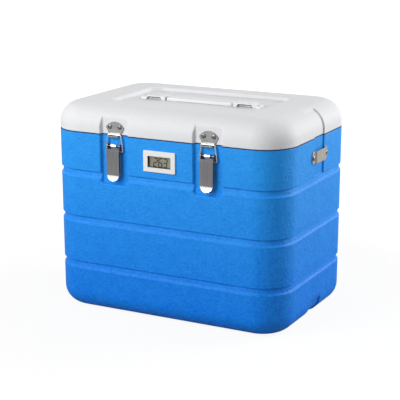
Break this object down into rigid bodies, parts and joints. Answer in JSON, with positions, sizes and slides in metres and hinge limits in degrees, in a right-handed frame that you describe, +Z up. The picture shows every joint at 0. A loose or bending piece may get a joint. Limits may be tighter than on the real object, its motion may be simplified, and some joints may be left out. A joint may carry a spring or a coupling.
{
  "type": "vaccine carrier",
  "caption": "Insulated cool box with a hinged lid, toggle latches on the front, a panel thermometer, strap brackets on the ends and a strap handle in the lid",
  "frame": {"origin": "on the surface the box stands on, under the middle of its footprint", "axes": "+X along the box's length, +Y to the back where the hinges are (the latches are on -Y), +Z up"},
  "size_m": [0.3612, 0.2509, 0.291],
  "materials": {
    "body_plastic": "satin, finely grained polyethylene",
    "lid_plastic": "satin, finely grained polyethylene",
    "liner_plastic": "gloss",
    "foam": "matte, rigid closed-cell foam",
    "bezel_plastic": "gloss",
    "lens": "gloss",
    "lcd": "satin",
    "circuit_board": "satin",
    "cell_steel": "satin",
    "lead_sheath": "matte",
    "probe_steel": "satin",
    "seal_rubber": "matte",
    "latch_steel": "satin",
    "keeper_steel": "satin",
    "bracket_steel": "satin",
    "hinge_steel": "satin",
    "wire_steel": "polished",
    "pin_steel": "satin",
    "screw_steel": "satin",
    "handle_plastic": "satin",
    "band_steel": "satin"
  },
  "bodies": {
    "body": {"body_shell": "body_plastic", "foam_core": "foam", "inner_liner": "liner_plastic", "thermometer_case": "bezel_plastic", "thermometer_lens": "lens", "lcd_panel": "lcd", "thermometer_board": "circuit_board", "button_cells": "cell_steel", "thermometer_back_cover": "bezel_plastic", "probe_lead": "lead_sheath", "sensor_probe": "probe_steel", "probe_grommet": "seal_rubber", "latch_base_left": "latch_steel", "latch_base_right": "latch_steel", "lever_pin_left": "pin_steel", "lever_pin_right": "pin_steel", "latch_base_screws": "screw_steel", "strap_bracket_left": "bracket_steel", "strap_bracket_right": "bracket_steel", "strap_bracket_screws": "screw_steel", "hinge_lower_leaf_left": "hinge_steel", "hinge_lower_leaf_right": "hinge_steel", "hinge_pin_left": "pin_steel", "hinge_pin_right": "pin_steel", "hinge_lower_screws": "screw_steel"},
    "lid": {"lid_shell": "lid_plastic", "lid_foam": "foam", "lid_liner": "liner_plastic", "lid_gasket": "seal_rubber", "keeper_left": "keeper_steel", "keeper_right": "keeper_steel", "keeper_screws": "screw_steel", "hinge_upper_leaf_left": "hinge_steel", "hinge_upper_leaf_right": "hinge_steel", "hinge_upper_screws": "screw_steel", "handle_cap_left": "handle_plastic", "handle_cap_right": "handle_plastic", "handle_cap_screws": "screw_steel"},
    "carry_handle": {"handle_grip": "handle_plastic", "handle_band": "band_steel"},
    "lever_left": {"lever_left": "latch_steel"},
    "lever_right": {"lever_right": "latch_steel"},
    "bail_left": {"bail_left": "wire_steel"},
    "bail_right": {"bail_right": "wire_steel"}
  },
  "joints": [
    {"name": "lid_hinge", "type": "hinge", "parent": "body", "child": "lid", "pos_m": [0, 0.1232, 0.25375], "axis": [-1, 0, 0], "range_deg": [0, 100]},
    {"name": "handle_lift", "type": "slide", "parent": "lid", "child": "carry_handle", "axis": [0, 0, 1], "range_m": [0, 0.002]},
    {"name": "lever_left_turn", "type": "hinge", "parent": "body", "child": "lever_left", "pos_m": [-0.0705, -0.1186, 0.239], "axis": [-1, 0, 0], "range_deg": [0, 125]},
    {"name": "bail_left_turn", "type": "hinge", "parent": "lever_left", "child": "bail_left", "pos_m": [-0.0705, -0.1176, 0.2315], "axis": [1, 0, 0], "range_deg": [0, 150]},
    {"name": "lever_right_turn", "type": "hinge", "parent": "body", "child": "lever_right", "pos_m": [0.0705, -0.1186, 0.239], "axis": [-1, 0, 0], "range_deg": [0, 125]},
    {"name": "bail_right_turn", "type": "hinge", "parent": "lever_right", "child": "bail_right", "pos_m": [0.0705, -0.1176, 0.2315], "axis": [1, 0, 0], "range_deg": [0, 150]}
  ],
  "couplings": [
    {"joint": "bail_left_turn", "follows": "lever_left_turn", "ratio": 1.15},
    {"joint": "bail_right_turn", "follows": "lever_right_turn", "ratio": 1.15}
  ]
}
